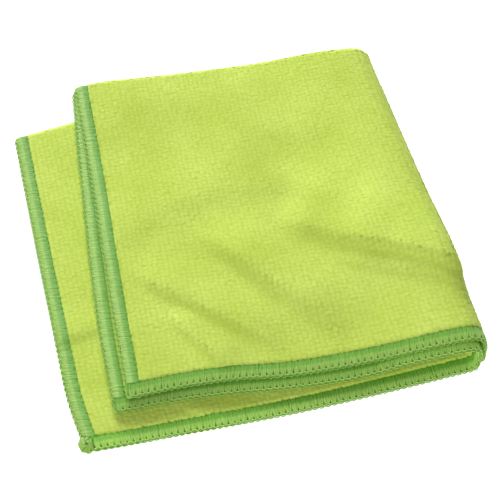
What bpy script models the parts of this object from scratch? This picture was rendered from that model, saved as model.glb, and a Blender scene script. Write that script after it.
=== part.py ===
"""A microfibre cloth, folded in quarters: one terry square and its overlocked border.

Metres, +Z up. The origin is on the surface that the cloth lies on, under the middle of the folded
bundle. +X runs along the front edges towards the side fold, +Y towards the back fold.

The square is folded in half at the back, then over again at the right side. A point of it is named
by two lengths on the flat square: "across", from the lower left edge (0) round the side fold to the
upper left edge (SIDE), and "along", from the front edge of the outer layers (0) round the back fold
to the front edge of the inner layers (SIDE). Counted from the top, the outer half makes layers 1
and 4, and the inner half makes layers 2 and 3.
"""

from collections import namedtuple

import bmesh
import bpy
import numpy as np

# The flat square
SIDE = 0.300
PILE_THICKNESS = 0.0028
EDGING_WIDTH = 0.0056
EDGING_THICKNESS = 0.0020
SEAM_GAP = 0.0004
PANEL_INSET = EDGING_WIDTH + SEAM_GAP

# The stack: distances between the middles of neighbouring layers
LAYER_PITCH = 0.0031
PAIR_PITCH = 0.0033
FLOOR_LAYER = PILE_THICKNESS / 2

# The back fold: the cloth turns over on itself
BACK_BEND = 0.0020
BACK_LINE = 0.1476
BACK_PUFF_REACH = 0.020
CREASE_UPPER = 0.1486
CREASE_LOWER = 0.1495

# The side fold: the doubled cloth turns over on itself, on a line that leans to the right
SIDE_BEND = 0.0065
SIDE_LINE = 0.1483
SIDE_LEAN = np.radians(2.6)
SIDE_PUFF_REACH = 0.028
SIDE_SHEAR = 0.73

# From the lower front left corner to the middle of the bundle
MIDDLE_X = 0.0798
MIDDLE_Y = 0.0797

# How far the front edges of layers 1, 2 and 3 and the back fold lie off the straight, left to right
FrontRow = namedtuple("FrontRow", "x top under lower back")
FRONT_ROWS = (
    FrontRow(0.000, 0.0004, -0.0010, 0.0014, -0.0005),
    FrontRow(0.020, 0.0006, 0.0002, -0.0003, 0.0007),
    FrontRow(0.040, 0.0018, 0.0010, -0.0016, 0.0027),
    FrontRow(0.060, 0.0014, 0.0000, -0.0030, 0.0020),
    FrontRow(0.080, -0.0011, -0.0018, -0.0041, 0.0012),
    FrontRow(0.110, -0.0017, -0.0030, -0.0049, 0.0004),
    FrontRow(0.150, -0.0019, -0.0034, -0.0053, 0.0006),
)
FRONT_FADE = 1.5

# How far the left edges of layers 1, 2 and 3 and the side fold lie off the straight, front to back
SideRow = namedtuple("SideRow", "y top under lower fold")
SIDE_ROWS = (
    SideRow(0.000, -0.0015, 0.0021, 0.0018, 0.0018),
    SideRow(0.020, -0.0006, 0.0004, -0.0008, 0.0010),
    SideRow(0.050, -0.0011, -0.0021, -0.0011, 0.0008),
    SideRow(0.080, -0.0011, -0.0034, -0.0011, -0.0006),
    SideRow(0.110, -0.0010, -0.0039, -0.0009, -0.0022),
    SideRow(0.150, -0.0018, -0.0048, -0.0004, -0.0026),
)
LEFT_REACH = 0.090
FOLD_START = 0.050
FOLD_REACH = 0.090

# The back right corner is drawn in towards the middle
CORNER_X = 0.1603
CORNER_Y = 0.1480
CORNER_REACH = 0.022
CORNER_PULL_X = 0.0020
CORNER_PULL_Y = 0.0032

# Soft ridges in the upper layers, each a line with its own spread on its two sides
Ridge = namedtuple("Ridge", "x0 y0 x1 y1 behind before rise")
RIDGES = (
    Ridge(0.098, 0.075, 0.128, 0.055, 0.022, 0.0060, 0.0026),
    Ridge(0.128, 0.055, 0.184, 0.019, 0.018, 0.0055, 0.0037),
    Ridge(0.118, 0.049, 0.158, 0.027, 0.006, 0.0045, 0.0011),
    Ridge(0.070, 0.072, 0.103, 0.028, 0.016, 0.0075, 0.0030),
    Ridge(0.040, 0.061, 0.077, 0.026, 0.012, 0.0048, 0.0019),
    Ridge(0.046, 0.041, 0.060, 0.018, 0.008, 0.0036, 0.0013),
    Ridge(0.030, 0.084, 0.062, 0.096, 0.014, 0.0065, 0.0008),
    Ridge(0.062, 0.096, 0.104, 0.096, 0.016, 0.0070, 0.0010),
    Ridge(0.104, 0.096, 0.126, 0.080, 0.014, 0.0070, 0.0008),
    Ridge(0.084, 0.120, 0.132, 0.118, 0.024, 0.0220, 0.0012),
    Ridge(0.095, 0.150, 0.114, 0.106, 0.010, 0.0030, 0.0004),
)
RIDGE_ENDS = 0.50

# The mesh: rows of cells, fine where the cloth bends
Span = namedtuple("Span", "end cells")
ACROSS_SPANS = (Span(0.146, 13), Span(0.178, 16), Span(0.206, 5), Span(SIDE - PANEL_INSET, 15))
ALONG_SPANS = (Span(0.1450, 20), Span(0.1530, 9), Span(SIDE - PANEL_INSET, 13))
CORNER_CELLS = 4
CORNER_SQUARENESS = 5

# The border's cross-section: distance in from the cut edge, and its share of the full thickness
Crown = namedtuple("Crown", "inset share")
CROWN = (
    Crown(0.0000, 0.35),
    Crown(0.0012, 0.65),
    Crown(0.0030, 1.00),
    Crown(EDGING_WIDTH, 0.55),
)


def eased(x):
    """0 to 1 as x goes from 0 to 1, level at both ends."""
    x = np.clip(x, 0, 1)
    return x * x * (3 - 2 * x)


def bell(x):
    return np.exp(-(x**2))


def through(rows, station, column, at):
    """A smooth curve through one column of a table, read at the given places."""
    places = np.array([getattr(row, station) for row in rows])
    values = np.array([getattr(row, column) for row in rows])
    slopes = np.gradient(values, places)
    at = np.clip(at, places[0], places[-1])
    left = np.clip(np.searchsorted(places, at, side="right") - 1, 0, len(rows) - 2)
    width = places[left + 1] - places[left]
    t = (at - places[left]) / width
    lift = t * t * (3 - 2 * t)
    value = (1 - lift) * values[left] + lift * values[left + 1]
    return value + width * t * (1 - t) * ((1 - t) * slopes[left] - t * slopes[left + 1])


def half_spacing(depth):
    """Half the distance between a pair's two layers. The pair opens towards its back fold."""
    run = np.maximum(BACK_LINE - depth, 0)
    opening = (BACK_BEND - LAYER_PITCH / 2) * bell(run / BACK_PUFF_REACH)
    return LAYER_PITCH / 2 + opening


def fold_at_back(across, along):
    """The depth of a point behind the front, and its offset from its pair's middle, inwards."""
    crease = CREASE_LOWER + (CREASE_UPPER - CREASE_LOWER) * eased(2 * across / SIDE)
    past = along - crease
    quarter = np.pi / 2 * BACK_BEND
    turn = np.clip(past / BACK_BEND, -np.pi / 2, np.pi / 2)
    run = np.maximum(np.abs(past) - quarter, 0)
    bending = run == 0
    depth = BACK_LINE + np.where(bending, BACK_BEND * np.cos(turn), -run)
    offset = np.where(bending, BACK_BEND * np.sin(turn), np.sign(past) * half_spacing(depth))
    return depth, offset


def fold_at_side(across, depth, offset):
    """Turns the doubled cloth over on the leaning fold line, and rests its end on the lower pair."""
    sine, cosine = np.sin(SIDE_LEAN), np.cos(SIDE_LEAN)
    past_line = (across - SIDE_LINE) * cosine - depth * sine
    down_line = (across - SIDE_LINE) * sine + depth * cosine
    shear = SIDE_SHEAR * np.clip(1 - depth / BACK_LINE, 0, 1)
    arc = np.pi * (SIDE_BEND - offset * shear)
    turn = np.pi * np.clip(past_line / arc, 0, 1)
    radius = SIDE_BEND - offset
    past_arc = np.maximum(past_line - arc, 0)
    out = np.where(turn < np.pi, np.minimum(past_line, 0) + radius * np.sin(turn), -past_arc)
    x = SIDE_LINE + out * cosine + down_line * sine
    y = down_line * cosine - out * sine
    middle = FLOOR_LAYER + half_spacing(depth)
    bent = middle + SIDE_BEND - radius * np.cos(turn)
    rest = FLOOR_LAYER + 2 * half_spacing(y) + PAIR_PITCH + half_spacing(depth)
    drop = (middle + 2 * SIDE_BEND - rest) * (1 - bell(past_arc / SIDE_PUFF_REACH))
    return x, y, bent - drop


def ridge_height(x, y):
    height = np.zeros_like(x)
    for ridge in RIDGES:
        run = np.array((ridge.x1 - ridge.x0, ridge.y1 - ridge.y0))
        length = np.hypot(*run)
        ahead, aside = run / length
        down = ((x - ridge.x0) * ahead + (y - ridge.y0) * aside) / length
        off = (y - ridge.y0) * ahead - (x - ridge.x0) * aside
        spread = np.where(off > 0, ridge.behind, ridge.before)
        ends = eased(down / RIDGE_ENDS + 0.5) * eased((1 - down) / RIDGE_ENDS + 0.5)
        height += ridge.rise * ends * bell(off / spread)
    return height


def settle(x, y, z):
    """Moves the neatly folded bundle to the shape in which it lies, layer by layer in height."""
    lower_top = FLOOR_LAYER + LAYER_PITCH
    under = lower_top + PAIR_PITCH
    top = under + LAYER_PITCH
    upper_share = eased((z - lower_top - LAYER_PITCH / 4) / (PAIR_PITCH / 2 + LAYER_PITCH / 4))
    top_share = eased((z - under) / (top - under))
    ridge_share = eased((z - lower_top) / (top - lower_top))

    front = np.clip(1 - y / BACK_LINE, 0, 1) ** FRONT_FADE
    back = np.clip(y / BACK_LINE, 0, 1) ** 2
    under_front = through(FRONT_ROWS, "x", "under", x)
    upper_front = under_front + top_share * (through(FRONT_ROWS, "x", "top", x) - under_front)
    lower_front = through(FRONT_ROWS, "x", "lower", x)
    shift_y = front * (lower_front + upper_share * (upper_front - lower_front))
    shift_y += back * through(FRONT_ROWS, "x", "back", x)

    left = 1 - eased(x / LEFT_REACH)
    top_left = through(SIDE_ROWS, "y", "top", y)
    under_left = through(SIDE_ROWS, "y", "under", y)
    lower_left = through(SIDE_ROWS, "y", "lower", y)
    upper_left = under_left + top_share * (top_left - under_left)
    shift_x = left * (lower_left + upper_share * (upper_left - lower_left))
    shift_x += eased((x - FOLD_START) / FOLD_REACH) * through(SIDE_ROWS, "y", "fold", y)

    corner = bell(np.hypot(x - CORNER_X, y - CORNER_Y) / CORNER_REACH)
    lift = ridge_share * ridge_height(x, y)
    return x + shift_x - corner * CORNER_PULL_X, y + shift_y - corner * CORNER_PULL_Y, z + lift


def cloth_points(across, along):
    """Where points of the flat square lie in the folded bundle, as rows of x, y, z."""
    depth, offset = fold_at_back(across, along)
    x, y, z = settle(*fold_at_side(across, depth, offset))
    return np.stack((x - MIDDLE_X, y - MIDDLE_Y, z), axis=-1)


def stations(spans):
    """Places from the panel's near edge to its far edge."""
    places = [PANEL_INSET]
    for span in spans:
        places.extend(np.linspace(places[-1], span.end, span.cells + 1)[1:])
    return np.array(places)


def rim_stations(across, along):
    """The border's route once round: rows of across, along, the outward way and its reach.

    The points lie on the panel's edge. The cut edge lies the border's width times the reach
    outward, and the reach is over 1 at the corners, which are only a little rounded.
    """
    near, far = PANEL_INSET, SIDE - PANEL_INSET
    quarter = np.linspace(0, np.pi / 2, CORNER_CELLS + 1)[1:-1]
    power = CORNER_SQUARENESS
    reach = (np.cos(quarter) ** power + np.sin(quarter) ** power) ** (-1 / power)
    sides = (
        ([(a, near) for a in across], -np.pi / 2),
        ([(far, b) for b in along], 0),
        ([(a, far) for a in across[::-1]], np.pi / 2),
        ([(near, b) for b in along[::-1]], np.pi),
    )
    route = []
    for places, facing in sides:
        route.extend((a, b, facing, 1) for a, b in places)
        route.extend((*places[-1], facing + turn, out) for turn, out in zip(quarter, reach))
    return np.array(route)


def folded_grid(name, across, along):
    """A grid of cells laid out on the flat square, folded up. across and along are 2-D arrays."""
    rows, columns = across.shape
    mesh = bpy.data.meshes.new(name)
    grid = bmesh.new()
    bmesh.ops.create_grid(grid, x_segments=columns - 1, y_segments=rows - 1, size=0.5)
    for vertex in grid.verts:
        column = round((vertex.co.x + 0.5) * (columns - 1))
        row = round((vertex.co.y + 0.5) * (rows - 1))
        vertex.co = cloth_points(across[row, column], along[row, column])
    return mesh, grid


def add_object(mesh, collection, colour, roughness):
    material = bpy.data.materials.new(mesh.name)
    material.use_nodes = True
    shader = material.node_tree.nodes["Principled BSDF"]
    shader.inputs["Base Color"].default_value = (*colour, 1)
    shader.inputs["Roughness"].default_value = roughness
    shader.inputs["Metallic"].default_value = 0
    material.diffuse_color = (*colour, 1)
    mesh.materials.append(material)
    mesh.shade_smooth()
    piece = bpy.data.objects.new(mesh.name, mesh)
    collection.objects.link(piece)
    return piece


def thicken(piece, thickness):
    solid = piece.modifiers.new("thickness", "SOLIDIFY")
    solid.thickness = thickness
    solid.offset = 0
    solid.use_even_offset = True
    return solid


def make_cloth(collection):
    """The terry panel, up to the needle line of its border."""
    across, along = np.meshgrid(stations(ACROSS_SPANS), stations(ALONG_SPANS))
    mesh, grid = folded_grid("cloth", across, along)
    grid.to_mesh(mesh)
    grid.free()
    cloth = add_object(mesh, collection, colour=(0.55, 0.70, 0.10), roughness=0.95)
    thicken(cloth, PILE_THICKNESS)


def make_edging(collection):
    """The overlocked border, a crowned band that closes on itself."""
    route = rim_stations(stations(ACROSS_SPANS), stations(ALONG_SPANS))
    route = np.vstack((route, route[:1]))
    insets = np.array([crown.inset for crown in CROWN])[:, None]
    outward = (PANEL_INSET - insets) * route[:, 3]
    across = route[:, 0] + outward * np.cos(route[:, 2])
    along = route[:, 1] + outward * np.sin(route[:, 2])
    mesh, grid = folded_grid("edging", across, along)

    weights = grid.verts.layers.deform.new()
    for index, vertex in enumerate(grid.verts):
        vertex[weights][0] = CROWN[index // len(route)].share
    bmesh.ops.remove_doubles(grid, verts=grid.verts, dist=1e-6)
    grid.to_mesh(mesh)
    grid.free()

    edging = add_object(mesh, collection, colour=(0.27, 0.52, 0.10), roughness=0.6)
    edging.vertex_groups.new(name="crown")
    solid = thicken(edging, EDGING_THICKNESS)
    solid.vertex_group = "crown"


def main():
    for leftover in list(bpy.data.objects):
        bpy.data.objects.remove(leftover)
    collection = bpy.data.collections.new("microfibre_cloth")
    bpy.context.scene.collection.children.link(collection)
    make_cloth(collection)
    make_edging(collection)


main()
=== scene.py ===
"""The folded microfibre cloth, dressed: terry pile, overlocked border, and the threads that sew it.

Metres, in the part's frame. The fold is worked out as in the part's own source, here on a finer grid.
A point of the cloth is named by two lengths on the flat square, across and along, and by a height
over the middle of its thickness, positive on the outer face of the doubled cloth.
"""

from collections import namedtuple

import bpy
import numpy as np
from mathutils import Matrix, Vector


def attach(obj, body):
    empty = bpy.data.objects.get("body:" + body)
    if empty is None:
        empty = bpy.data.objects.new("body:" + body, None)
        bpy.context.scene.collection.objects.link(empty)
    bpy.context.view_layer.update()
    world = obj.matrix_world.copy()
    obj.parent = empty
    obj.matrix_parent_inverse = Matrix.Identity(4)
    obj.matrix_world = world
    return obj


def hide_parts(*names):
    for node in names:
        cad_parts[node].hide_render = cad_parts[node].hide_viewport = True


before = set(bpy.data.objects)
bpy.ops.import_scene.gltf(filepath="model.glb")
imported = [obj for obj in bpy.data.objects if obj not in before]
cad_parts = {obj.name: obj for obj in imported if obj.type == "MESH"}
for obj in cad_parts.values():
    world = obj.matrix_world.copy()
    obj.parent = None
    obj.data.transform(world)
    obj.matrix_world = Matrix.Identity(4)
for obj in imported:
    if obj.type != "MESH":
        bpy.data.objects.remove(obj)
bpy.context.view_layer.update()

# Every uneven place and size comes from here, drawn piece by piece
draw = np.random.default_rng(7)


# ---------------------------------------------------------------- the fold's sizes

# The flat square
SIDE = 0.300

# The stack: the cloth's thickness, the distance between the middles of a pair's two layers and
# between the pairs, and the height of the lowest layer's middle
PILE_THICKNESS = 0.0028
LAYER_PITCH = 0.0031
PAIR_PITCH = 0.0033
FLOOR_LAYER = PILE_THICKNESS / 2

# The back fold: its radius, the depth at which it turns, how far in front of it a pair stays open,
# and where its crease lies along the square in each pair
BACK_BEND = 0.0020
BACK_LINE = 0.1476
BACK_PUFF_REACH = 0.020
CREASE_UPPER = 0.1486
CREASE_LOWER = 0.1495

# The side fold, of both layers together: its radius, its line and the line's lean, how far its loop
# stays open, and how much of its own way round each layer takes in front, where they slip
SIDE_BEND = 0.0065
SIDE_LINE = 0.1483
SIDE_LEAN = np.radians(2.6)
SIDE_PUFF_REACH = 0.028
SIDE_SHEAR = 0.73

# From the lower front left corner to the middle of the bundle
MIDDLE_X = 0.0798
MIDDLE_Y = 0.0797

# How far back each layer lies of the neat fold, by x: the front edges of the top layer, of the one
# under it and of the lower pair, and the back fold. The front edges' shifts fade towards the back,
# and the back fold's towards the front, by these powers.
FrontRow = namedtuple("FrontRow", "x top under lower back")
FRONT_ROWS = (
    FrontRow(0.000, 0.0004, -0.0010, 0.0014, -0.0005),
    FrontRow(0.020, 0.0006, 0.0002, -0.0003, 0.0007),
    FrontRow(0.040, 0.0018, 0.0010, -0.0016, 0.0027),
    FrontRow(0.060, 0.0014, 0.0000, -0.0030, 0.0020),
    FrontRow(0.080, -0.0011, -0.0018, -0.0041, 0.0012),
    FrontRow(0.110, -0.0017, -0.0030, -0.0049, 0.0004),
    FrontRow(0.150, -0.0019, -0.0034, -0.0053, 0.0006),
)
FRONT_FADE = 1.5
BACK_FADE = 2

# How far right each layer lies of the neat fold, by y: the left edges of the same three, and the side
# fold. The left edges' shifts fade over LEFT_REACH, and the side fold's grow from FOLD_START over
# FOLD_REACH.
SideRow = namedtuple("SideRow", "y top under lower fold")
SIDE_ROWS = (
    SideRow(0.000, -0.0015, 0.0021, 0.0018, 0.0018),
    SideRow(0.020, -0.0006, 0.0004, -0.0008, 0.0010),
    SideRow(0.050, -0.0011, -0.0021, -0.0011, 0.0008),
    SideRow(0.080, -0.0011, -0.0034, -0.0011, -0.0006),
    SideRow(0.110, -0.0010, -0.0039, -0.0009, -0.0022),
    SideRow(0.150, -0.0018, -0.0048, -0.0004, -0.0026),
)
LEFT_REACH = 0.090
FOLD_START = 0.050
FOLD_REACH = 0.090

# The back right corner, which is pulled in
CORNER_X = 0.1603
CORNER_Y = 0.1480
CORNER_REACH = 0.022
CORNER_PULL_X = 0.0020
CORNER_PULL_Y = 0.0032

# A crease's ridge, from left to right: its line seen from above, measured from the lower front left
# corner, how far its slopes reach behind the line and before it, and how high it rises
Ridge = namedtuple("Ridge", "x0 y0 x1 y1 behind before rise")
RIDGES = (
    Ridge(0.102, 0.074, 0.130, 0.054, 0.022, 0.0100, 0.0024),
    Ridge(0.124, 0.057, 0.184, 0.019, 0.018, 0.0060, 0.0039),
    Ridge(0.118, 0.049, 0.158, 0.027, 0.006, 0.0045, 0.0011),
    Ridge(0.070, 0.072, 0.103, 0.028, 0.016, 0.0075, 0.0030),
    Ridge(0.040, 0.061, 0.077, 0.026, 0.012, 0.0048, 0.0019),
    Ridge(0.046, 0.041, 0.060, 0.018, 0.008, 0.0036, 0.0013),
    Ridge(0.030, 0.084, 0.062, 0.096, 0.014, 0.0080, 0.00070),
    Ridge(0.062, 0.096, 0.104, 0.096, 0.016, 0.0085, 0.00095),
    Ridge(0.104, 0.096, 0.126, 0.080, 0.014, 0.0085, 0.00070),
    Ridge(0.084, 0.120, 0.132, 0.118, 0.024, 0.0220, 0.0012),
    Ridge(0.095, 0.150, 0.114, 0.106, 0.010, 0.0030, 0.0004),
)
# On the strip of the lower pair that shows
STRIP_RIDGES = (
    Ridge(0.000, 0.0490, 0.024, 0.0510, 0.0070, 0.0032, 0.0010),
    Ridge(0.042, 0.0105, 0.053, 0.0020, 0.0040, 0.0022, 0.0005),
)
# The share of its line over which a ridge's end fades, and the factors on its rise and on its reach
# behind and before. One that rises no more than SOFT_RISE keeps its reach before.
RIDGE_ENDS = 0.50
RIDGE_GAIN = 1.14
RIDGE_BEHIND = 1.15
RIDGE_NARROW = 0.62
SOFT_RISE = 0.00105


# ---------------------------------------------------------------- the fold


def eased(x):
    """0 to 1 as x goes from 0 to 1, level at both ends."""
    x = np.clip(x, 0, 1)
    return x * x * (3 - 2 * x)


def bell(x):
    return np.exp(-(x**2))


def through(rows, station, column, at):
    """A smooth curve through one column of a table, read at the given places."""
    places = np.array([getattr(row, station) for row in rows])
    values = np.array([getattr(row, column) for row in rows])
    slopes = np.gradient(values, places)
    at = np.clip(at, places[0], places[-1])
    left = np.clip(np.searchsorted(places, at, side="right") - 1, 0, len(rows) - 2)
    width = places[left + 1] - places[left]
    t = (at - places[left]) / width
    lift = t * t * (3 - 2 * t)
    value = (1 - lift) * values[left] + lift * values[left + 1]
    return value + width * t * (1 - t) * ((1 - t) * slopes[left] - t * slopes[left + 1])


def half_spacing(depth):
    """Half the distance between a pair's two layers. The pair opens towards its back fold."""
    run = np.maximum(BACK_LINE - depth, 0)
    opening = (BACK_BEND - LAYER_PITCH / 2) * bell(run / BACK_PUFF_REACH)
    return LAYER_PITCH / 2 + opening


def fold_at_back(across, along):
    """The depth of a point behind the front, and its offset from its pair's middle, inwards."""
    crease = CREASE_LOWER + (CREASE_UPPER - CREASE_LOWER) * eased(2 * across / SIDE)
    past = along - crease
    quarter = np.pi / 2 * BACK_BEND
    turn = np.clip(past / BACK_BEND, -np.pi / 2, np.pi / 2)
    run = np.maximum(np.abs(past) - quarter, 0)
    bending = run == 0
    depth = BACK_LINE + np.where(bending, BACK_BEND * np.cos(turn), -run)
    offset = np.where(bending, BACK_BEND * np.sin(turn), np.sign(past) * half_spacing(depth))
    return depth, offset


def fold_at_side(across, depth, offset):
    """Turns the doubled cloth over on the leaning fold line, and rests its end on the lower pair."""
    sine, cosine = np.sin(SIDE_LEAN), np.cos(SIDE_LEAN)
    past_line = (across - SIDE_LINE) * cosine - depth * sine
    down_line = (across - SIDE_LINE) * sine + depth * cosine
    shear = SIDE_SHEAR * np.clip(1 - depth / BACK_LINE, 0, 1)
    arc = np.pi * (SIDE_BEND - offset * shear)
    turn = np.pi * np.clip(past_line / arc, 0, 1)
    radius = SIDE_BEND - offset
    past_arc = np.maximum(past_line - arc, 0)
    out = np.where(turn < np.pi, np.minimum(past_line, 0) + radius * np.sin(turn), -past_arc)
    x = SIDE_LINE + out * cosine + down_line * sine
    y = down_line * cosine - out * sine
    middle = FLOOR_LAYER + half_spacing(depth)
    bent = middle + SIDE_BEND - radius * np.cos(turn)
    rest = FLOOR_LAYER + 2 * half_spacing(y) + PAIR_PITCH + half_spacing(depth)
    drop = (middle + 2 * SIDE_BEND - rest) * (1 - bell(past_arc / SIDE_PUFF_REACH))
    return x, y, bent - drop


def ridge_height(x, y, ridges):
    """How much the ridges lift the cloth there."""
    height = np.zeros_like(x)
    for ridge in ridges:
        run = np.array((ridge.x1 - ridge.x0, ridge.y1 - ridge.y0))
        length = np.hypot(*run)
        ahead, aside = run / length
        down = ((x - ridge.x0) * ahead + (y - ridge.y0) * aside) / length
        off = (y - ridge.y0) * ahead - (x - ridge.x0) * aside
        before = ridge.before * (RIDGE_NARROW if ridge.rise > SOFT_RISE else 1)
        spread = np.where(off > 0, ridge.behind * RIDGE_BEHIND, before)
        ends = eased(down / RIDGE_ENDS + 0.5) * eased((1 - down) / RIDGE_ENDS + 0.5)
        height += ridge.rise * ends * bell(off / spread)
    return height * RIDGE_GAIN


def settle(x, y, z):
    """Moves the neatly folded bundle to the shape in which it lies, layer by layer in height."""
    lower_top = FLOOR_LAYER + LAYER_PITCH
    under = lower_top + PAIR_PITCH
    top = under + LAYER_PITCH
    upper_share = eased((z - lower_top - LAYER_PITCH / 4) / (PAIR_PITCH / 2 + LAYER_PITCH / 4))
    top_share = eased((z - under) / (top - under))
    ridge_share = eased((z - lower_top) / (top - lower_top))

    front = np.clip(1 - y / BACK_LINE, 0, 1) ** FRONT_FADE
    back = np.clip(y / BACK_LINE, 0, 1) ** BACK_FADE
    under_front = through(FRONT_ROWS, "x", "under", x)
    upper_front = under_front + top_share * (through(FRONT_ROWS, "x", "top", x) - under_front)
    lower_front = through(FRONT_ROWS, "x", "lower", x)
    shift_y = front * (lower_front + upper_share * (upper_front - lower_front))
    shift_y += back * through(FRONT_ROWS, "x", "back", x)

    left = 1 - eased(x / LEFT_REACH)
    top_left = through(SIDE_ROWS, "y", "top", y)
    under_left = through(SIDE_ROWS, "y", "under", y)
    lower_left = through(SIDE_ROWS, "y", "lower", y)
    upper_left = under_left + top_share * (top_left - under_left)
    shift_x = left * (lower_left + upper_share * (upper_left - lower_left))
    shift_x += eased((x - FOLD_START) / FOLD_REACH) * through(SIDE_ROWS, "y", "fold", y)

    corner = bell(np.hypot(x - CORNER_X, y - CORNER_Y) / CORNER_REACH)
    strip_share = eased((z - FLOOR_LAYER) / LAYER_PITCH) * (1 - upper_share)
    lift = ridge_share * ridge_height(x, y, RIDGES) + strip_share * ridge_height(x, y, STRIP_RIDGES)
    return x + shift_x - corner * CORNER_PULL_X, y + shift_y - corner * CORNER_PULL_Y, z + lift


def middle_points(across, along):
    """Where points of the flat square's middle lie in the folded bundle, as rows of x, y, z."""
    across, along = np.broadcast_arrays(np.asarray(across, float), np.asarray(along, float))
    depth, offset = fold_at_back(across, along)
    x, y, z = settle(*fold_at_side(across, depth, offset))
    return np.stack((x - MIDDLE_X, y - MIDDLE_Y, z), axis=-1)


# How far to each side of a point its directions are measured
PROBE = 0.0002


def unit(vectors):
    return vectors / np.linalg.norm(vectors, axis=-1, keepdims=True)


def lay(across, along):
    """The folded cloth's points there, with its unit direction outwards."""
    here = middle_points(across, along)
    way_across = middle_points(across + PROBE, along) - middle_points(across - PROBE, along)
    way_along = middle_points(across, along + PROBE) - middle_points(across, along - PROBE)
    return here, unit(np.cross(unit(way_along), unit(way_across)))


def folded(across, along, height):
    """Points at a height over the cloth's middle surface."""
    here, out = lay(across, along)
    return here + out * np.asarray(height)[..., None]


# ---------------------------------------------------------------- meshes


def new_piece(name, points, faces, flat_places, material):
    """A smooth mesh piece. flat_places gives each point its place on the material's flat map."""
    points = np.ascontiguousarray(points, np.float32).reshape(-1, 3)
    mesh = bpy.data.meshes.new(name)
    corners = faces.shape[1]
    mesh.vertices.add(len(points))
    mesh.vertices.foreach_set("co", points.ravel())
    mesh.loops.add(faces.size)
    mesh.loops.foreach_set("vertex_index", np.ascontiguousarray(faces, np.int32).ravel())
    mesh.polygons.add(len(faces))
    mesh.polygons.foreach_set("loop_start", np.arange(0, faces.size, corners, dtype=np.int32))
    mesh.update(calc_edges=True)
    mesh.validate()
    mesh.shade_smooth()
    layer = mesh.uv_layers.new(name="flat")
    layer.uv.foreach_set("vector", flat_places.astype(np.float32)[faces.ravel()].ravel())
    piece = bpy.data.objects.new(name, mesh)
    bpy.context.scene.collection.objects.link(piece)
    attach(piece, "root")
    mesh.materials.append(material)
    return piece


def point_values(piece, name, values):
    """Gives the piece a named value at each point, for its material."""
    piece.data.attributes.new(name, "FLOAT", "POINT").data.foreach_set("value", values)


def grid_faces(rows, columns, wrap_rows=False, wrap_columns=False):
    """Quads of a grid of points, row by row; it may close on itself either way."""
    row = np.arange(rows if wrap_rows else rows - 1)[:, None]
    column = np.arange(columns if wrap_columns else columns - 1)[None, :]
    next_row, next_column = (row + 1) % rows, (column + 1) % columns
    quads = (
        row * columns + column,
        row * columns + next_column,
        next_row * columns + next_column,
        next_row * columns + column,
    )
    return np.stack(np.broadcast_arrays(*quads), axis=-1).reshape(-1, 4)


def repeated_faces(faces, count, points_each):
    """The faces of one form, for count copies of it whose points follow one another."""
    starts = (np.arange(count) * points_each)[:, None, None]
    return (faces + starts).reshape(-1, faces.shape[1])


def paired(first, second):
    """Rows of two from two grids of the same form."""
    return np.stack((first.ravel(), second.ravel()), axis=-1)


# ---------------------------------------------------------------- materials

# A Mix node's sockets for colours
MIX_FACTOR, MIX_FIRST, MIX_SECOND, MIX_RESULT = 0, 6, 7, 2


def shader_of(name):
    material = bpy.data.materials.new(name)
    material.use_nodes = True
    tree = material.node_tree
    return material, tree, tree.nodes["Principled BSDF"]


def add_node(tree, kind, **settings):
    node = tree.nodes.new(kind)
    for key, value in settings.items():
        if key in node.inputs:
            node.inputs[key].default_value = value
        else:
            setattr(node, key, value)
    return node


def set_inputs(node, values):
    for key, value in values.items():
        node.inputs[key].default_value = value


def ramp(tree, source, stops):
    node = tree.nodes.new("ShaderNodeValToRGB")
    elements = node.color_ramp.elements
    while len(elements) < len(stops):
        elements.new(0.5)
    for element, (place, colour) in zip(elements, stops):
        element.position = place
        element.color = (*colour, 1)
    tree.links.new(source, node.inputs["Fac"])
    return node.outputs["Color"]


def mixed(tree, factor, first, second, blend="MIX"):
    node = tree.nodes.new("ShaderNodeMix")
    node.data_type = "RGBA"
    node.blend_type = blend
    for index, value in ((MIX_FACTOR, factor), (MIX_FIRST, first), (MIX_SECOND, second)):
        if isinstance(value, bpy.types.NodeSocket):
            tree.links.new(value, node.inputs[index])
        else:
            node.inputs[index].default_value = value
    return node.outputs[MIX_RESULT]


def bump_into(tree, shader, height, strength, distance):
    bump = add_node(tree, "ShaderNodeBump", Strength=strength, Distance=distance)
    tree.links.new(height, bump.inputs["Height"])
    tree.links.new(bump.outputs["Normal"], shader.inputs["Normal"])


def noise(tree, scale, detail, roughness):
    """Noise on the flat map. The scale is the number of its grains to a unit of the map."""
    node = add_node(tree, "ShaderNodeTexNoise", Scale=1.0, Detail=detail, Roughness=roughness)
    uv = add_node(tree, "ShaderNodeUVMap", uv_map="flat")
    mapping = add_node(tree, "ShaderNodeMapping", Scale=scale)
    tree.links.new(uv.outputs["UV"], mapping.inputs["Vector"])
    tree.links.new(mapping.outputs["Vector"], node.inputs["Vector"])
    return node.outputs["Fac"]


# The pile's noise, in grains to a metre across and along
PATCH_SCALE = (45, 45, 45)
MOTTLE_SCALE = (520, 700, 500)
FIBRE_SCALE = (2600, 1700, 1000)
MOTTLE_SHARE = 0.35
FIBRE_SHARE = 0.25
# Painted shade: the pile is coloured a little darker and greener low between its tips, where shade
# falls among the loops
LOW_PILE_SHADE_STOPS = ((0.0, (0.87, 0.93, 0.80)), (0.9, (1.0, 1.0, 1.0)))
TERRY_FINISH = {
    "Roughness": 0.95,
    "Specular IOR Level": 0.2,
    "Sheen Weight": 0.10,
    "Sheen Roughness": 0.55,
    "Sheen Tint": (0.85, 0.95, 0.55, 1),
}


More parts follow.
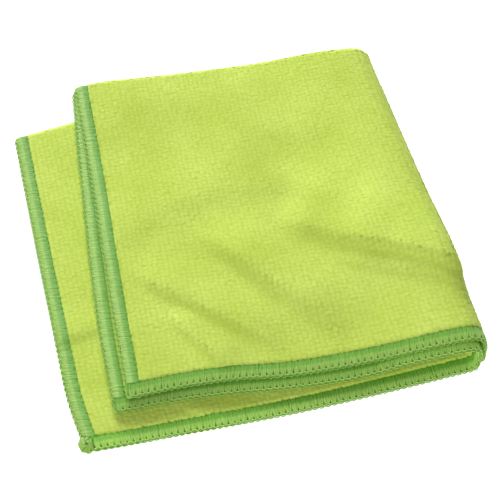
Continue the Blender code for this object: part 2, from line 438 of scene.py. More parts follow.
def make_terry(name, low, high):
    """Looped microfibre: soft patches of tone, a finer mottle from loop to loop, fuzz, and painted
    shade low between the loops' tips.
    """
    material, tree, shader = shader_of(name)
    patches = noise(tree, PATCH_SCALE, detail=2.0, roughness=0.5)
    mottle = noise(tree, MOTTLE_SCALE, detail=1.0, roughness=0.6)
    fibres = noise(tree, FIBRE_SCALE, detail=3.0, roughness=0.7)
    tone = mixed(tree, MOTTLE_SHARE, patches, mottle)
    tone = mixed(tree, FIBRE_SHARE, tone, fibres)
    colour = ramp(tree, tone, ((0.30, low), (0.68, high)))
    tip = add_node(tree, "ShaderNodeAttribute", attribute_name="tip")
    # Painted shade: darker and greener towards each loop's foot
    depth = ramp(tree, tip.outputs["Fac"], LOW_PILE_SHADE_STOPS)
    colour = mixed(tree, 1.0, colour, depth, "MULTIPLY")
    tree.links.new(colour, shader.inputs["Base Color"])
    set_inputs(shader, TERRY_FINISH)
    bump_into(tree, shader, fibres, strength=0.5, distance=0.0004)
    return material


# The thread's streaks, in grains to a stitch round and to a border's width in
STREAK_SCALE = (9.0, 1.2, 1)
STREAK_STOPS = ((0.30, (0.74, 0.80, 0.68)), (0.62, (1.0, 1.0, 1.0)))
# Painted light: how much lighter the marked threads are coloured, standing in for light on the inner
# layers' front edge, which lies in shade under the upper pair
PAINTED_LIGHT_GAIN = (1.30, 1.30, 1.30, 1)
THREAD_FINISH = {
    "Specular IOR Level": 0.38,
    "Sheen Weight": 0.08,
    "Sheen Roughness": 0.4,
    "Sheen Tint": (0.9, 1.0, 0.75, 1),
}


def make_thread(name, stops, roughness=0.42):
    """Overlock thread, by how far in from the edge it lies: V of the map runs in from the edge."""
    material, tree, shader = shader_of(name)
    uv = add_node(tree, "ShaderNodeUVMap", uv_map="flat")
    split = add_node(tree, "ShaderNodeSeparateXYZ")
    tree.links.new(uv.outputs["UV"], split.inputs["Vector"])
    base = ramp(tree, split.outputs["Y"], stops)
    strands = noise(tree, STREAK_SCALE, detail=2.0, roughness=0.6)
    streaks = ramp(tree, strands, STREAK_STOPS)
    colour = mixed(tree, 1.0, base, streaks, "MULTIPLY")
    # Painted light: the marked threads are coloured paler
    painted_light = add_node(tree, "ShaderNodeAttribute", attribute_name="painted_light")
    painted_lit = mixed(tree, 1.0, colour, PAINTED_LIGHT_GAIN, "MULTIPLY")
    colour = mixed(tree, painted_light.outputs["Fac"], colour, painted_lit)
    tree.links.new(colour, shader.inputs["Base Color"])
    set_inputs(shader, {"Roughness": roughness, **THREAD_FINISH})
    bump_into(tree, shader, strands, strength=0.4, distance=0.0001)
    return material


# The thread's colour from the edge in: paler at the crown, darker and greener towards the needle line,
# partly the tighter thread's own colour and partly painted shade from the pile's edge
THREAD_STOPS = (
    (0.00, (0.35, 0.60, 0.11)),
    (0.20, (0.36, 0.60, 0.12)),
    (0.44, (0.35, 0.59, 0.12)),
    (0.58, (0.21, 0.47, 0.06)),
    (0.82, (0.18, 0.44, 0.045)),
    (1.00, (0.16, 0.42, 0.04)),
)
# Painted shade: the body under the threads is coloured dark green, darker in from the outer edge,
# standing in for the shade in the gaps between the strands and under the purls
GROUND_GAP_SHADE_STOPS = (
    (0.00, (0.28, 0.50, 0.09)),
    (0.09, (0.24, 0.46, 0.07)),
    (0.14, (0.15, 0.40, 0.05)),
    (0.34, (0.15, 0.40, 0.05)),
    (0.60, (0.14, 0.38, 0.04)),
    (1.00, (0.14, 0.38, 0.04)),
)
# The needle thread is coloured dark green like the zone by the needle line: partly the thread's own
# colour, partly painted shade where it dips under the pile's edge
NEEDLE_STOPS = ((0.00, (0.10, 0.33, 0.03)), (1.00, (0.12, 0.36, 0.04)))
terry = make_terry("terry_pile", (0.51, 0.65, 0.085), (0.67, 0.81, 0.165))
terry_ground = make_terry("terry_ground", (0.58, 0.70, 0.09), (0.66, 0.78, 0.13))
thread = make_thread("overlock_thread", THREAD_STOPS)
painted_shade_ground = make_thread("overlock_ground_painted_shade", GROUND_GAP_SHADE_STOPS, roughness=0.8)
needle = make_thread("needle_thread", NEEDLE_STOPS)


# ---------------------------------------------------------------- the terry sheet

# Each face's height over the middle. The outer face carries its loops as pieces of their own.
OUTER_GROUND = 0.00114
INNER_PILE = 0.0013

# The sheet ends under the border, whose stitches press it to PINCHED of its height over TUCK
SHEET_INSET = 0.0048
TUCK = 0.0014
PINCHED = 0.45

# The sheet's grid: the stretch in which it folds over, and the points before, in and after it
BENT_START = 0.138
BENT_END = 0.182
POINTS_ACROSS = (66, 34, 58)
POINTS_ALONG = (66, 28, 58)


def sheet_places(before, bent, after):
    """Places from edge to edge, closer where the cloth folds over."""
    parts = (
        np.linspace(SHEET_INSET, BENT_START, before, endpoint=False),
        np.linspace(BENT_START, BENT_END, bent, endpoint=False),
        np.linspace(BENT_END, SIDE - SHEET_INSET, after),
    )
    return np.concatenate(parts)


def edge_distance(across, along):
    """How far in from the nearest cut edge a place on the flat square lies."""
    return np.minimum.reduce((across, SIDE - across, along, SIDE - along))


def fullness(across, along):
    """The cloth's share of its full height: less where the border's stitches hold it down."""
    return PINCHED + (1 - PINCHED) * eased((edge_distance(across, along) - SHEET_INSET) / TUCK)


def make_sheet():
    """The square itself, one closed skin: its two faces, and a wall round their rim."""
    across, along = np.meshgrid(sheet_places(*POINTS_ACROSS), sheet_places(*POINTS_ALONG))
    full = fullness(across, along)
    here, out = lay(across, along)
    outer = here + out * (OUTER_GROUND * full)[..., None]
    inner = here - out * (INNER_PILE * full)[..., None]
    rows, columns = across.shape
    count = rows * columns
    top = grid_faces(rows, columns)
    points = np.concatenate((outer.reshape(-1, 3), inner.reshape(-1, 3)))
    index = np.arange(count).reshape(rows, columns)
    rim = np.concatenate((index[0, :-1], index[:-1, -1], index[-1, :0:-1], index[:0:-1, 0]))
    wall = np.stack((rim, np.roll(rim, -1), np.roll(rim, -1) + count, rim + count), axis=-1)
    faces = np.concatenate((top[:, ::-1], top + count, wall))
    flat = np.tile(paired(across, along), (2, 1))
    return new_piece("terry_sheet", points, faces, flat, terry_ground)


sheet = make_sheet()
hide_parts("cloth")


# ---------------------------------------------------------------- the terry loops

# The distances between ribs and between courses. The ribs are out of step by up to RIB_SWING, in a
# wave that turns RIB_TURN radians from rib to rib.
RIB = 0.00200
COURSE = 0.00172
RIB_SWING = 0.00020
RIB_TURN = 1.9

# How far in from the cut edge the loops begin, and how far that line sways: its waves across and
# along the square, each with its radians to a metre and the radians that it starts at
LOOP_START = 0.0054
PILE_SWAY = 0.0004
WAVES_ACROSS = ((150, 1.3), (390, 0.4))
WAVES_ALONG = ((170, 0.0), (330, 2.1))

# A loop's foot over the middle, and its half sizes. Beside the border it starts at EDGE_RISE of its
# height, and it is whole EDGE_WIDTH further in.
LOOP_BASE = 0.00108
LOOP_HALF_ACROSS = 0.00106
LOOP_HALF_ALONG = 0.00105
EDGE_RISE = 0.25
EDGE_WIDTH = 0.0010

# How much the loops vary in place, turn, half sizes, rise and tilt
PLACE_SPREAD = 0.00020
SPIN_SPREAD = 0.20
ACROSS_SPREAD = 0.00010
ALONG_SPREAD = 0.00009
RISE_SPREAD = 0.00003
TILT_SPREAD = 0.000022

# A kind of tuft: its rings of (radius, height) as shares of its sizes, its sides, its size as a share
# of a loop's, and the height that it is lifted and then rises over a loop's foot
Tuft = namedtuple("Tuft", "rings sides size lift rise")
FINE_LOOP = Tuft(((1.16, 0.38), (0.64, 0.83)), 6, 1.0, 0.0, 0.00018)
PLAIN_LOOP = Tuft(((1.16, 0.38),), 5, 1.0, 0.0, 0.00018)
SMALL_TUFT = Tuft(((1.10, 0.45),), 5, 0.50, 0.00004, 0.00012)
FOLD_TUFT = Tuft(((1.10, 0.45),), 5, 0.40, 0.00008, 0.00030)

# The parts of the square. The outer face shows across from SIDE_START, where the side fold begins,
# and along up to BACK_END, just past the back fold. Its loops are two pieces that meet at TOP_MIDDLE.
SIDE_START = 0.136
BACK_END = 0.1515
TOP_MIDDLE = 0.075

# How much of the inner layers shows: in front and at the left of the lower one, at the left of the
# upper one, and along up to BACK_SHOWN at the back fold
FRONT_REVEAL = 0.034
LEFT_REVEAL = 0.036
UPPER_REVEAL = 0.012
BACK_SHOWN = 0.160

# The stretches in which a fold is the outline: along the square from OUTLINE_BACK, and across it
# within OUTLINE_SIDE, or OUTLINE_FRONT in front of OUTLINE_SPLIT
OUTLINE_BACK = 0.1455
OUTLINE_SIDE = (0.150, 0.166)
OUTLINE_FRONT = (0.148, 0.168)
OUTLINE_SPLIT = 0.130


def dome(sides, rings):
    """A rounded tuft: rings of (radius, height), then a crown point."""
    angles = np.linspace(0, 2 * np.pi, sides, endpoint=False)
    points = [(r * np.cos(a), r * np.sin(a), h) for r, h in rings for a in angles]
    points.append((0, 0, 1))
    faces = []
    for level in range(len(rings) - 1):
        for k in range(sides):
            a, b = level * sides + k, level * sides + (k + 1) % sides
            faces += [(a, b, b + sides), (a, b + sides, a + sides)]
    last = (len(rings) - 1) * sides
    faces += [(last + k, last + (k + 1) % sides, len(points) - 1) for k in range(sides)]
    return np.array(points, float), np.array(faces)


def sway(across, along):
    """A slow, uneven wave between -1 and 1 over the flat square."""
    waves = [np.sin(rate * across + start) for rate, start in WAVES_ACROSS]
    waves += [np.sin(rate * along + start) for rate, start in WAVES_ALONG]
    return sum(waves) / len(waves)


def pile_edge(across, along):
    """How far in from the cut edge the loops begin."""
    return LOOP_START + PILE_SWAY * sway(across, along)


def within(values, span):
    return (values > span[0]) & (values <= span[1])


def loop_places(across_span, along_span):
    """Where the loops of one part of the square stand, rib by rib, a little out of line."""
    near, far = LOOP_START, SIDE - LOOP_START
    ribs = np.arange(near + RIB / 2, far, RIB)
    courses = np.arange(near + COURSE / 2, far, COURSE)
    across, along = np.meshgrid(ribs, courses)
    along = along + RIB_SWING * np.sin(np.arange(len(ribs)) * RIB_TURN)
    across = across + draw.normal(0, PLACE_SPREAD, across.shape)
    along = along + draw.normal(0, PLACE_SPREAD, across.shape)
    keep = within(across, across_span) & within(along, along_span)
    keep &= edge_distance(across, along) > pile_edge(across, along)
    return across[keep], along[keep]


def scattered(across, along):
    """Two small tufts near each loop, for the pile's broken surface."""
    across = across + draw.uniform(-RIB / 2, RIB / 2, (2, len(across)))
    along = along + draw.uniform(-COURSE / 2, COURSE / 2, (2, len(along)))
    return across.ravel(), along.ravel()


def make_tufts(name, across, along, kind):
    """Low, wide, overlapping tufts that follow the folds, so the pile is one soft ribbed surface."""
    template, faces = dome(kind.sides, kind.rings)
    count = len(across)
    spin = draw.normal(0, SPIN_SPREAD, (count, 1))
    half_across = kind.size * draw.normal(LOOP_HALF_ACROSS, ACROSS_SPREAD, (count, 1))
    half_along = kind.size * draw.normal(LOOP_HALF_ALONG, ALONG_SPREAD, (count, 1))
    rise = draw.normal(kind.rise, RISE_SPREAD, (count, 1))
    tilt = draw.normal(0, TILT_SPREAD, (2, count, 1))
    out_across, out_along, level = template.T
    wide, deep = half_across * out_across, half_along * out_along
    tuft_across = across[:, None] + wide * np.cos(spin) - deep * np.sin(spin)
    tuft_along = along[:, None] + wide * np.sin(spin) + deep * np.cos(spin)
    edge = pile_edge(tuft_across, tuft_along)
    tuft_across = np.clip(tuft_across, edge, SIDE - edge)
    tuft_along = np.clip(tuft_along, edge, SIDE - edge)
    past_edge = edge_distance(tuft_across, tuft_along) - edge
    full = EDGE_RISE + (1 - EDGE_RISE) * eased(past_edge / EDGE_WIDTH)
    base = LOOP_BASE * fullness(tuft_across, tuft_along)
    tilted = tilt[0] * out_across + tilt[1] * out_along
    height = base + full * (kind.lift + rise * level + tilted)
    points = folded(tuft_across, tuft_along, height)
    all_faces = repeated_faces(faces, count, len(template))
    piece = new_piece(name, points, all_faces, paired(tuft_across, tuft_along), terry)
    # Each point's height share over its loop's foot, which the pile's material darkens low down as
    # painted shade
    foot = kind.rings[0][1]
    point_values(piece, "tip", np.tile((level - foot) / (1 - foot), count))
    return piece


def make_pile():
    """The loops of each part of the square, and the small tufts over the parts that show."""
    across, along = loop_places((SIDE_START, SIDE), (0, BACK_END))
    front = along < TOP_MIDDLE
    pieces = [
        make_tufts("pile_top_front", across[front], along[front], FINE_LOOP),
        make_tufts("pile_top_back", across[~front], along[~front], FINE_LOOP),
    ]

    across, along = loop_places((0, SIDE_START), (0, BACK_END))
    pieces.append(make_tufts("pile_base", across, along, PLAIN_LOOP))

    across, along = loop_places((0, SIDE), (BACK_END, SIDE))
    shown = (along > SIDE - FRONT_REVEAL) | (across < LEFT_REVEAL)
    shown |= (across > SIDE - UPPER_REVEAL) | (along < BACK_SHOWN)
    across, along = across[shown], along[shown]
    pieces.append(make_tufts("pile_inside", across, along, FINE_LOOP))
    pieces.append(make_tufts("tufts_inside", *scattered(across, along), SMALL_TUFT))

    across, along = loop_places((SIDE_START, SIDE), (0, BACK_END))
    pieces.append(make_tufts("tufts_top", *scattered(across, along), SMALL_TUFT))

    across, along = scattered(*loop_places((SIDE_START, SIDE), (OUTLINE_SPLIT, BACK_END)))
    bent = (along > OUTLINE_BACK) | within(across, OUTLINE_SIDE)
    front_across, front_along = scattered(*loop_places(OUTLINE_FRONT, (0, OUTLINE_SPLIT)))
    across, along = np.append(across[bent], front_across), np.append(along[bent], front_along)
    pieces.append(make_tufts("tufts_folds", across, along, FOLD_TUFT))
    return pieces


loops = make_pile()


# ---------------------------------------------------------------- the overlocked border

# The border's width, which the needle line bounds, and its stitches. The route round it has SAMPLES
# points to a stitch, and CORNER_STITCHES stitches at each corner of the square.
BAND = 0.0060
EDGE_STITCHES = 118
STITCH = (SIDE - 2 * BAND) / EDGE_STITCHES
SAMPLES = 4
CORNER_STITCHES = 3
CORNER_SQUARENESS = 5

# The needle line's four corners, and the way on from each and the way outward there. Edges 0 and 2
# lie in front in the bundle, and 1 and 3 at the left.
FAR_BAND = SIDE - BAND
EDGE_STARTS = np.array(((BAND, BAND), (FAR_BAND, BAND), (FAR_BAND, FAR_BAND), (BAND, FAR_BAND)))
EDGE_WAYS = np.array(((1, 0), (0, 1), (-1, 0), (0, -1)))
EDGE_FACINGS = (-np.pi / 2, 0.0, np.pi / 2, np.pi)

# The route's columns
ACROSS, ALONG, FACING, REACH = range(4)


def rim_route():
    """The border once round: rows of across, along, the outward way as an angle, and its reach.

    A row names a point of the needle line. The cut edge lies BAND times the reach outward of it,
    and the reach is over 1 at the square's corners, which are only a little rounded.
    """
    run = np.arange(EDGE_STITCHES * SAMPLES) / SAMPLES * STITCH
    turn = np.arange(CORNER_STITCHES * SAMPLES) / (CORNER_STITCHES * SAMPLES) * np.pi / 2
    power = CORNER_SQUARENESS
    reach = (np.cos(turn) ** power + np.sin(turn) ** power) ** (-1 / power)
    rows = []
    for start, ahead, facing in zip(EDGE_STARTS, EDGE_WAYS, EDGE_FACINGS):
        rows += [(*(start + ahead * r), facing, 1.0) for r in run]
        end = start + ahead * STITCH * EDGE_STITCHES
        rows += [(*end, facing + angle, out) for angle, out in zip(turn, reach)]
    return np.array(rows)


route = rim_route()
STITCHES = len(route) // SAMPLES


def rim_spot(places, insets):
    """Places on the flat square for border points, by stitches round and distance in from the edge."""
    at = np.mod(places * SAMPLES, len(route))
    low = np.floor(at).astype(int) % len(route)
    high = (low + 1) % len(route)
    share = at - np.floor(at)
    turn = (route[high, FACING] - route[low, FACING] + np.pi) % (2 * np.pi) - np.pi
    facing = route[low, FACING] + share * turn
    across, along, reach = (
        route[low, column] + share * (route[high, column] - route[low, column])
        for column in (ACROSS, ALONG, REACH)
    )
    outward = (BAND - insets) * reach
    return across + outward * np.cos(facing), along + outward * np.sin(facing)


def edge_spot(side, run, insets):
    """Like rim_spot, for one straight edge of the square, which may run on past its corners."""
    start, ahead = EDGE_STARTS[side], EDGE_WAYS[side]
    out = BAND - insets
    across = start[..., 0] + ahead[..., 0] * run * STITCH + ahead[..., 1] * out
    along = start[..., 1] + ahead[..., 1] * run * STITCH - ahead[..., 0] * out
    return across, along


def spot_on(sides):
    """The spot function of threads that each lie along the edge given for them."""

    def spot(runs, insets):
        return edge_spot(np.broadcast_to(sides, runs.shape), runs, insets)

    return spot


# The height of the border's face over the middle, by distance in from the cut edge
Face = namedtuple("Face", "inset height")
FACE = (
    Face(0.0000, 0.00022),
    Face(0.0004, 0.00048),
    Face(0.0009, 0.00068),
    Face(0.0015, 0.00084),
    Face(0.0022, 0.00096),
    Face(0.0030, 0.00100),
    Face(0.0040, 0.00092),
    Face(0.0050, 0.00076),
    Face(0.0062, 0.00056),
)

# How far the band under the threads lies below that face and in from the cut edge
STRAND_DEPTH = 0.00012
BAND_INSET = 0.00015


def face_height(insets):
    return through(FACE, "inset", "height", insets)


def make_ring(name, spot, places, insets, heights):
    """A closed body round a rim, with one section of insets and heights at each of the places."""
    insets, places = np.meshgrid(insets, places)
    points = folded(*spot(places, insets), np.broadcast_to(heights, insets.shape))
    faces = grid_faces(*insets.shape, wrap_rows=True, wrap_columns=True)
    return new_piece(name, points, faces, paired(places, insets / BAND), painted_shade_ground)


def make_band():
    """The body under the threads: the sewn-over edge of the terry, coloured dark as painted shade
    where it shows between the stitches.
    """
    half = np.array([row.inset for row in FACE])
    insets = np.concatenate((half[::-1], half))
    sides = np.concatenate((np.ones(len(half)), -np.ones(len(half))))
    heights = sides * (face_height(insets) - STRAND_DEPTH)
    places = np.arange(len(route)) / SAMPLES
    return make_ring("edging_band", rim_spot, places, insets + BAND_INSET, heights)


# A kind of thread: its half width and half height, its sides and its material
Yarn = namedtuple("Yarn", "half_width half_height sides material")
LOOPER_YARN = Yarn(0.00042, 0.00012, 4, thread)
PURL_YARN = Yarn(0.00021, 0.00021, 5, thread)
EDGE_YARN = Yarn(0.00022, 0.00024, 5, thread)
NEEDLE_YARN = Yarn(0.00018, 0.00014, 4, needle)
TAIL_YARN = Yarn(0.00028, 0.00016, 4, thread)
TAIL_RIM_YARN = Yarn(0.00028, 0.00030, 5, thread)
SEAM_YARN = Yarn(0.00016, 0.00016, 5, needle)

# A thread lies flat over a core this far inside. On its map it reaches this share of a stitch to
# each side.
CORE_DEPTH = 0.004
MAP_HALF_WIDTH = 0.08


def steps(count):
    """Shares of a thread's length, as one row."""
    return np.linspace(0, 1, count)[None]


def make_threads(name, spot, places, insets, heights, yarn):
    """Threads of the border, one to a row of stitch places, distances in and heights."""
    places, insets, heights = np.broadcast_arrays(places, insets, heights)
    middle, out = lay(*spot(places, insets))
    centre = middle + out * heights[..., None]
    ahead = unit(np.gradient(centre, axis=1))
    core = middle_points(*spot(places, np.full_like(insets, BAND / 2)))
    away = centre - core + out * (np.sign(heights) * CORE_DEPTH)[..., None]
    away = unit(away - ahead * np.sum(away * ahead, axis=-1, keepdims=True))
    aside = np.cross(ahead, away)
    angles = np.linspace(0, 2 * np.pi, yarn.sides, endpoint=False) + np.pi / 2
    wide = yarn.half_width * np.cos(angles)[:, None] * aside[:, :, None]
    high = yarn.half_height * np.sin(angles)[:, None] * away[:, :, None]
    rings = centre[:, :, None] + wide + high
    count, length = places.shape
    one = grid_faces(length, yarn.sides, wrap_columns=True)
    faces = repeated_faces(one, count, length * yarn.sides)
    u = places[:, :, None] + np.cos(angles) * MAP_HALF_WIDTH
    v = np.broadcast_to((insets / BAND)[:, :, None], u.shape)
    return new_piece(name, rings, faces, paired(u, v), yarn.material)


# Painted light: the edge that shows at the front of the two inner layers is coloured paler, standing
# in for light where it lies in shade under the upper pair. It starts so many stitches along the edge,
# and is whole so many stitches further
PAINTED_LIGHT_EDGE = 2
PAINTED_LIGHT_START = 6
PAINTED_LIGHT_FADE = 12


def paint_light(piece, sides, runs):
    """Marks the threads that get painted light: a paler colour standing in for light in the shade."""
    painted_lit = (sides == PAINTED_LIGHT_EDGE) * np.clip((runs - PAINTED_LIGHT_START) / PAINTED_LIGHT_FADE, 0, 1)
    painted_lit = np.repeat(painted_lit.ravel(), len(piece.data.vertices) // len(sides))
    point_values(piece, "painted_light", painted_lit)
    return piece


# The stitches of each edge. Those of the front edges are sewn last and run on over the corners.
OVERRUN = 2


def edge_stitches():
    """Two columns: each stitch's edge, and its place along the edge."""
    sides, runs = [], []
    for side in range(len(EDGE_STARTS)):
        over = OVERRUN if side % 2 == 0 else 0
        run = np.arange(-over, EDGE_STITCHES + over)
        sides.append(np.full(len(run), side))
        runs.append(run)
    return np.concatenate(sides)[:, None], np.concatenate(runs)[:, None].astype(float)


stitch_sides, stitch_runs = edge_stitches()

# The looper threads over the faces: so many strands to a stitch, gathered at the purl, less so at
# the left edges, and how much they vary in inset, in place and in height
STRANDS = 5
STRAND_START, STRAND_END = 0.0060, 0.0007
STRAND_SLANT = 0.30
FRONT_GATHER = 0.46
LEFT_GATHER = 0.20
GATHER_START = 0.0020
GATHER_LENGTH = 0.0010
STRAND_INSET_SPREAD = 0.00008
STRAND_DRIFT = 0.02
STRAND_HEIGHT_SPREAD = 0.00002


def gathered(insets, pull, start, length):
    """The share of their spacing that a stitch's strands keep as they near the rim."""
    return 1 - pull * eased((start - insets) / length)


def make_looper(name, face):
    """The strands on one face: 1 is the outer face, and -1 the inner."""
    t = steps(7)
    side = np.repeat(stitch_sides, STRANDS, axis=0)
    stitch = np.repeat(stitch_runs, STRANDS, axis=0)
    strand = (np.tile(np.arange(STRANDS), len(stitch_runs))[:, None] + 0.5) / STRANDS - 0.5
    insets = STRAND_START + (STRAND_END - STRAND_START) * t
    insets = insets + draw.normal(0, STRAND_INSET_SPREAD, stitch.shape)
    pull = np.where(side % 2 == 0, FRONT_GATHER, LEFT_GATHER)
    drift = draw.normal(0, STRAND_DRIFT, stitch.shape)
    kept = gathered(insets, pull, GATHER_START, GATHER_LENGTH)
    runs = stitch + 0.5 + (strand + drift) * kept - face * STRAND_SLANT * (1 - t)
    heights = face_height(insets) + draw.normal(0, STRAND_HEIGHT_SPREAD, stitch.shape)
    piece = make_threads(name, spot_on(side), runs, insets, face * heights, LOOPER_YARN)
    return paint_light(piece, side, stitch)


# The purls: a thread that hangs from stitch to stitch under the holes, on each face
PURL_INSET = 0.00100
PURL_HANG = 0.00060
PURL_HANG_SPREAD = 0.00004
PURL_LIFT = 0.00010


def make_purl(name, face):
    t = steps(9)
    hang = np.sin(np.pi * t)
    insets = PURL_INSET - PURL_HANG * hang
    insets = insets + draw.normal(0, PURL_HANG_SPREAD, stitch_runs.shape) * hang
    heights = face * (face_height(insets) + PURL_LIFT)
    runs = stitch_runs + 0.5 + t
    piece = make_threads(name, spot_on(stitch_sides), runs, insets, heights, PURL_YARN)
    return paint_light(piece, stitch_sides, stitch_runs)


# The thread that closes the edge: a wavy line at the middle of its height
EDGE_LINE_WAVE = 0.00014
EDGE_LINE_SPREAD = 0.00003
EDGE_LINE_INSET = 0.00022
EDGE_LINE_BULGE = 0.00050


def make_edge_line():
    t = steps(7)
    places = np.arange(STITCHES)[:, None] + t
    bulge = np.sin(np.pi * t)
    uneven = draw.normal(0, EDGE_LINE_SPREAD, (STITCHES, 1)) * bulge
    heights = EDGE_LINE_WAVE * np.cos(2 * np.pi * t) + uneven
    insets = EDGE_LINE_INSET - EDGE_LINE_BULGE * bulge
    return make_threads("edge_line", rim_spot, places, insets, heights, EDGE_YARN)


# The needle thread, seen where it pulls the pile down beside the border: where each turn starts, in
# inset and in stitches, how far it runs, and how much it varies and stands over the border's face
NEEDLE_INSET = 0.0048
NEEDLE_RUN = 0.0011
NEEDLE_OFFSET = 0.30
NEEDLE_SLANT = 0.22
NEEDLE_DRIFT = 0.05
NEEDLE_INSET_SPREAD = 0.00015
NEEDLE_LIFT = 0.00006
NEEDLE_RISE = 0.00014


def make_needle(name, face):
    t = steps(5)
    places = np.arange(STITCHES)[:, None] - NEEDLE_OFFSET * face + NEEDLE_SLANT * t
    places = places + draw.normal(0, NEEDLE_DRIFT, (STITCHES, 1))
    insets = NEEDLE_INSET + NEEDLE_RUN * t + draw.normal(0, NEEDLE_INSET_SPREAD, (STITCHES, 1))
    heights = face * (face_height(insets) + NEEDLE_LIFT + NEEDLE_RISE * np.sin(np.pi * t / 2))
    return make_threads(name, rim_spot, places, insets, heights, NEEDLE_YARN)


# ---------------------------------------------------------------- the knot

# The knot of thread where the sewing ends, at the corner that shows at the bundle's front left: its
# middle on the flat square, its half sizes, its lean, and the stitches round it
TAIL_MIDDLE = (0.0011, 0.2972)
TAIL_HALF = (0.0030, 0.0036)
TAIL_LEAN = np.radians(15)
TAIL_STITCHES = 7

# How much thicker it is than the border: what is added to its face's height, and the factor on that
TAIL_LIFT = 0.0002
TAIL_SWELL = 1.25

# The body under its threads: its section from the middle out, how far it lies below the threads, and
# its points round
TAIL_INSETS = (0.00290, 0.0024, 0.0016, 0.0009, 0.0004, 0.00015)
TAIL_DEPTH = 0.00016
TAIL_POINTS = 40

# Its strands: where they start and how far they run out, how they gather, and how much they vary
TAIL_START = 0.0023
TAIL_RUN = 0.0019
TAIL_GATHER = 0.40
TAIL_GATHER_START = 0.0013
TAIL_GATHER_LENGTH = 0.0009
TAIL_INSET_SPREAD = 0.00015
TAIL_DRIFT = 0.06
TAIL_HEIGHT_SPREAD = 0.00009

# The wavy thread round its rim
TAIL_RIM_INSET = 0.00035
TAIL_RIM_BULGE = 0.00028
TAIL_RIM_WAVE = 0.00022

# The dark turns beside it, as places on the flat square: where the first one starts, how far it runs,
# the distance to the next, how it wavers, and how it stands over the middle
SEAM_TURNS = 3
SEAM_START = (0.0042, 0.2940)
SEAM_RUN = (-0.0019, 0.0060)
SEAM_PITCH = 0.00022
SEAM_WAVER = 0.00012
SEAM_WAVES = 9
SEAM_HEIGHT = 0.00112
SEAM_DIP = 0.00060
SEAM_SPREAD = 0.00004


def tail_spot(places, insets):
    """Places on the flat square round the knot, by stitches round and distance in from its rim."""
    angle = 2 * np.pi * places / TAIL_STITCHES
    share = 1 - insets / TAIL_HALF[0]
    wide = TAIL_HALF[0] * share * np.cos(angle)
    deep = TAIL_HALF[1] * share * np.sin(angle)
    sine, cosine = np.sin(TAIL_LEAN), np.cos(TAIL_LEAN)
    return TAIL_MIDDLE[0] + wide * cosine - deep * sine, TAIL_MIDDLE[1] + wide * sine + deep * cosine


def tail_height(insets):
    return TAIL_LIFT + TAIL_SWELL * face_height(insets)


def make_tail_body():
    """The rounded body under the knot's threads."""
    insets = np.array(TAIL_INSETS)
    heights = tail_height(insets) - TAIL_DEPTH
    insets = np.concatenate((insets, insets[::-1]))
    heights = np.concatenate((heights, -heights[::-1]))
    places = np.linspace(0, TAIL_STITCHES, TAIL_POINTS, endpoint=False)
    return make_ring("tail_body", tail_spot, places, insets, heights)


def make_tail_threads(name, face):
    t = steps(7)
    count = TAIL_STITCHES * STRANDS
    stitch = np.arange(count)[:, None] // STRANDS
    strand = (np.arange(count)[:, None] % STRANDS + 0.5) / STRANDS - 0.5
    insets = TAIL_START - TAIL_RUN * t + draw.normal(0, TAIL_INSET_SPREAD, stitch.shape)
    drift = draw.normal(0, TAIL_DRIFT, stitch.shape)
    kept = gathered(insets, TAIL_GATHER, TAIL_GATHER_START, TAIL_GATHER_LENGTH)
    places = stitch + 0.5 + (strand + drift) * kept - face * (1 - t) ** 2
    heights = tail_height(insets) + draw.normal(0, TAIL_HEIGHT_SPREAD, stitch.shape)
    return make_threads(name, tail_spot, places, insets, face * heights, TAIL_YARN)


def make_tail_rim():
    t = steps(7)
    places = np.arange(TAIL_STITCHES)[:, None] + t
    insets = TAIL_RIM_INSET - TAIL_RIM_BULGE * np.sin(np.pi * t)
    heights = TAIL_RIM_WAVE * np.cos(2 * np.pi * t)
    return make_threads("tail_rim", tail_spot, places, insets, heights, TAIL_RIM_YARN)


def make_tail_seam():
    """The dark turns of needle thread between the knot and the border."""
    t = steps(9)
    row = np.arange(SEAM_TURNS)[:, None]
    waver = SEAM_WAVER * np.sin(SEAM_WAVES * t + row)
    across = SEAM_START[0] + SEAM_RUN[0] * t + SEAM_PITCH * row + waver
    along = SEAM_START[1] + SEAM_RUN[1] * t
    heights = SEAM_HEIGHT - SEAM_DIP * (2 * t - 1) ** 4
    heights = heights + draw.normal(0, SEAM_SPREAD, (SEAM_TURNS, 1))

    def spot(across, along):
        return across, along

    return make_threads("tail_seam", spot, across, along, heights, SEAM_YARN)


band = make_band()
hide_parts("edging")
border = [
    make_looper("looper_face", 1),
    make_looper("looper_back", -1),
    make_purl("purl_face", 1),
    make_purl("purl_back", -1),
    make_edge_line(),
    make_needle("needle_face", 1),
    make_needle("needle_back", -1),
    make_tail_body(),
    make_tail_threads("tail_face", 1),
    make_tail_threads("tail_back", -1),
    make_tail_rim(),
    make_tail_seam(),
]


# ---------------------------------------------------------------- the stage

FLOOR_HALF = 3.0
FLOOR_DROP = 0.0003
WHITE = (1, 1, 1, 1)
FLOOR_FINISH = {
    "Base Color": (0.5, 0.5, 0.5, 1),
    "Roughness": 0.9,
    "Emission Color": WHITE,
    "Emission Strength": 0.95,
}

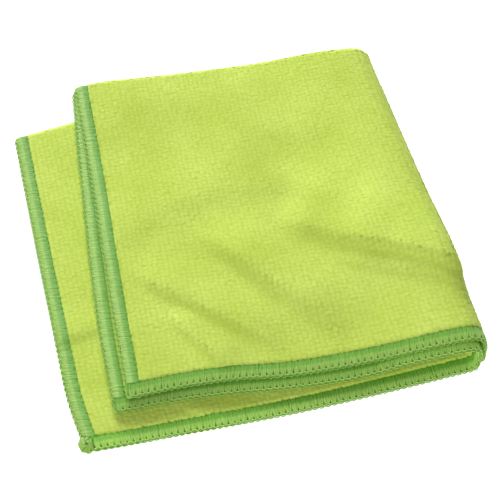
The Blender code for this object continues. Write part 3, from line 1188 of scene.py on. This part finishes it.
# The photograph's viewpoint, and its lens as a focal length in pixels of a picture so many wide
VIEW_AZIMUTH = np.radians(-15.48)
VIEW_ELEVATION = np.radians(59.79)
VIEW_DISTANCE = 0.4555
VIEW_TARGET = Vector((0.00408, -0.00841, 0.0))
FOCAL_PIXELS = 1100
PICTURE_PIXELS = 500
SENSOR_WIDTH = 36


def add_object(name, data):
    item = bpy.data.objects.new(name, data)
    bpy.context.scene.collection.objects.link(item)
    return item


def point_at(item, direction):
    item.rotation_euler = direction.to_track_quat("-Z", "Y").to_euler()


def make_floor():
    mesh = bpy.data.meshes.new("floor")
    corners = [(-1, -1), (1, -1), (1, 1), (-1, 1)]
    mesh.from_pydata([(x * FLOOR_HALF, y * FLOOR_HALF, 0) for x, y in corners], [], [(0, 1, 2, 3)])
    floor = add_object("floor", mesh)
    floor.location.z = -FLOOR_DROP
    material, _, shader = shader_of("floor")
    set_inputs(shader, FLOOR_FINISH)
    mesh.materials.append(material)


def add_area(name, place, size, power):
    """A square lamp that shines on the bundle."""
    data = bpy.data.lights.new(name, "AREA")
    data.size = size
    data.energy = power
    light = add_object(name, data)
    light.location = place
    point_at(light, -Vector(place))


def make_world():
    world = bpy.data.worlds.new("studio")
    world.use_nodes = True
    set_inputs(world.node_tree.nodes["Background"], {"Color": WHITE, "Strength": 0.20})
    bpy.context.scene.world = world


def make_camera():
    back = Vector(
        (
            np.sin(VIEW_AZIMUTH) * np.cos(VIEW_ELEVATION),
            -np.cos(VIEW_AZIMUTH) * np.cos(VIEW_ELEVATION),
            np.sin(VIEW_ELEVATION),
        )
    )
    data = bpy.data.cameras.new("camera")
    data.sensor_width = SENSOR_WIDTH
    data.lens = SENSOR_WIDTH * FOCAL_PIXELS / PICTURE_PIXELS
    data.clip_start = 0.01
    camera = add_object("camera", data)
    camera.location = VIEW_TARGET + back * VIEW_DISTANCE
    point_at(camera, -back)
    bpy.context.scene.camera = camera


make_floor()
add_area("back_light", (0.0, 1.31, 0.60), size=0.7, power=29.8)
add_area("overhead_light", (-0.45, -0.85, 1.05), size=1.5, power=5.2)
add_area("front_light", (-0.55, -1.30, 0.32), size=1.2, power=14.0)
make_world()
make_camera()
bpy.context.scene.view_settings.view_transform = "Standard"
